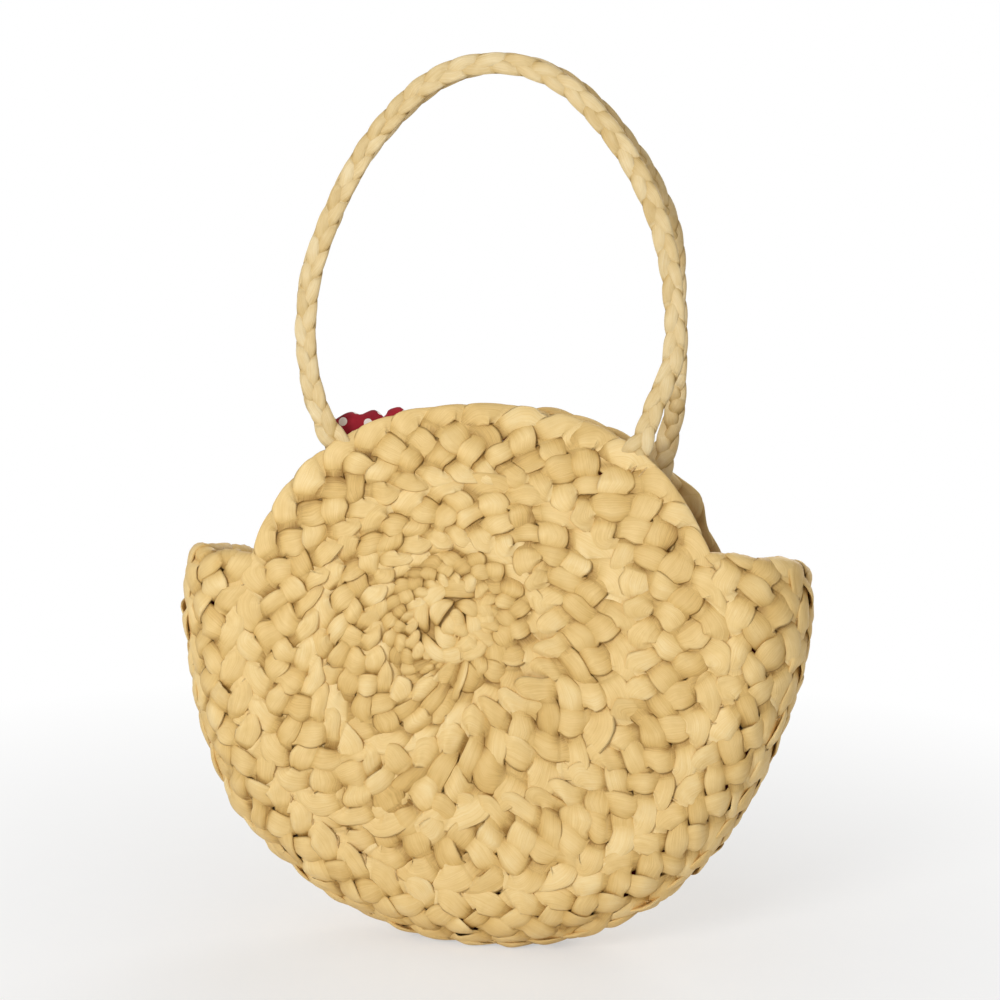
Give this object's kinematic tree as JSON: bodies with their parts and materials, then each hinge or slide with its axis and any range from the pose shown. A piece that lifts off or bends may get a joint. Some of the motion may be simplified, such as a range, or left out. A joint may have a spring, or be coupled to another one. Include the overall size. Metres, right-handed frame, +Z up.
{
  "type": "round straw handbag",
  "caption": "Round plaited straw handbag with a curved gusset, fold-down plaited arch handles, an opening mouth and a cotton lining.",
  "frame": {"origin": "on the floor under the middle of the bag", "axes": "+Z up, -Y towards the front panel, +X to the right of the front"},
  "size_m": [0.3462, 0.083, 0.4834],
  "materials": {
    "plait": "dry plaited husk, satin sheen on the folds",
    "handle_plait": "fine plaited husk cord",
    "lining": "red and white cotton",
    "thread": "waxed sewing thread"
  },
  "bodies": {
    "bag": {"back_panel": "plait", "gusset_front_row": "plait", "gusset_middle_row": "plait", "gusset_back_row": "plait", "lining_back": "lining", "lining_back_stitches": "thread", "lining_gusset": "lining", "back_seam_thread": "thread", "gusset_front_seam_thread": "thread", "gusset_back_seam_thread": "thread", "back_handle_ends": "handle_plait", "back_handle_stitches": "thread"},
    "front_side": {"front_panel": "plait", "lining_front": "lining", "lining_front_stitches": "thread", "front_seam_thread": "thread", "front_handle_ends": "handle_plait", "front_handle_stitches": "thread"},
    "front_handle_loop": {"front_handle": "handle_plait"},
    "back_handle_loop": {"back_handle": "handle_plait"}
  },
  "joints": [
    {"name": "mouth_opening", "type": "hinge", "parent": "bag", "child": "front_side", "pos_m": [0, -0.038, 0.0391], "axis": [1, 0, 0], "range_deg": [0, 8], "deforming": ["gusset_front_row", "gusset_middle_row", "gusset_back_row", "lining_gusset", "gusset_front_seam_thread", "gusset_back_seam_thread"]},
    {"name": "front_handle_swing", "type": "hinge", "parent": "front_side", "child": "front_handle_loop", "pos_m": [0, -0.0214, 0.29884], "axis": [1, 0, 0], "range_deg": [0, 150], "deforming": ["front_handle_ends"]},
    {"name": "back_handle_swing", "type": "hinge", "parent": "bag", "child": "back_handle_loop", "pos_m": [0, 0.02441, 0.28886], "axis": [-1, 0, 0], "range_deg": [0, 150], "deforming": ["back_handle_ends"]}
  ]
}
